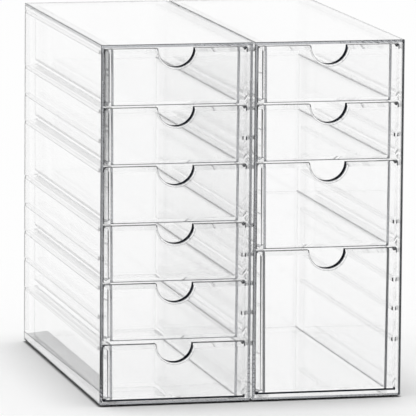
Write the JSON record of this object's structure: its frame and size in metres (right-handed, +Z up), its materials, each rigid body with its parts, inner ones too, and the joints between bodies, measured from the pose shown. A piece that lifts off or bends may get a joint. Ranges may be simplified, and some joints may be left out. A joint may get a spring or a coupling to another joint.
{
  "type": "craft stamp storage drawers",
  "caption": "Clear plastic tower drawers for craft stamps: side-by-side open-front shells with hanging drawers of several heights, each pulled out by a finger notch.",
  "frame": {"origin": "on the surface the towers stand on, midway between them and midway from front to back", "axes": "+Z up, the drawers open towards -Y, +X to the right as seen from the front"},
  "size_m": [0.282, 0.356, 0.33],
  "materials": {
    "clear_shell": "clear gloss",
    "clear_tray": "clear gloss",
    "clear_front": "clear gloss",
    "foot_pad": "clear satin"
  },
  "bodies": {
    "towers": {"shell_left": "clear_shell", "feet_left": "foot_pad", "shell_right": "clear_shell", "feet_right": "foot_pad"},
    "left_drawer_1": {"left_tray_1": "clear_tray", "left_front_1": "clear_front"},
    "left_drawer_2": {"left_tray_2": "clear_tray", "left_front_2": "clear_front"},
    "left_drawer_3": {"left_tray_3": "clear_tray", "left_front_3": "clear_front"},
    "left_drawer_4": {"left_tray_4": "clear_tray", "left_front_4": "clear_front"},
    "left_drawer_5": {"left_tray_5": "clear_tray", "left_front_5": "clear_front"},
    "left_drawer_6": {"left_tray_6": "clear_tray", "left_front_6": "clear_front"},
    "right_drawer_1": {"right_tray_1": "clear_tray", "right_front_1": "clear_front"},
    "right_drawer_2": {"right_tray_2": "clear_tray", "right_front_2": "clear_front"},
    "right_drawer_3": {"right_tray_3": "clear_tray", "right_front_3": "clear_front"},
    "right_drawer_4": {"right_tray_4": "clear_tray", "right_front_4": "clear_front"}
  },
  "joints": [
    {"name": "left_drawer_1_slide", "type": "slide", "parent": "towers", "child": "left_drawer_1", "axis": [0, -1, 0], "range_m": [0, 0.3]},
    {"name": "left_drawer_2_slide", "type": "slide", "parent": "towers", "child": "left_drawer_2", "axis": [0, -1, 0], "range_m": [0, 0.3]},
    {"name": "left_drawer_3_slide", "type": "slide", "parent": "towers", "child": "left_drawer_3", "axis": [0, -1, 0], "range_m": [0, 0.3]},
    {"name": "left_drawer_4_slide", "type": "slide", "parent": "towers", "child": "left_drawer_4", "axis": [0, -1, 0], "range_m": [0, 0.3]},
    {"name": "left_drawer_5_slide", "type": "slide", "parent": "towers", "child": "left_drawer_5", "axis": [0, -1, 0], "range_m": [0, 0.3]},
    {"name": "left_drawer_6_slide", "type": "slide", "parent": "towers", "child": "left_drawer_6", "axis": [0, -1, 0], "range_m": [0, 0.3]},
    {"name": "right_drawer_1_slide", "type": "slide", "parent": "towers", "child": "right_drawer_1", "axis": [0, -1, 0], "range_m": [0, 0.3]},
    {"name": "right_drawer_2_slide", "type": "slide", "parent": "towers", "child": "right_drawer_2", "axis": [0, -1, 0], "range_m": [0, 0.3]},
    {"name": "right_drawer_3_slide", "type": "slide", "parent": "towers", "child": "right_drawer_3", "axis": [0, -1, 0], "range_m": [0, 0.3]},
    {"name": "right_drawer_4_slide", "type": "slide", "parent": "towers", "child": "right_drawer_4", "axis": [0, -1, 0], "range_m": [0, 0.3]}
  ]
}
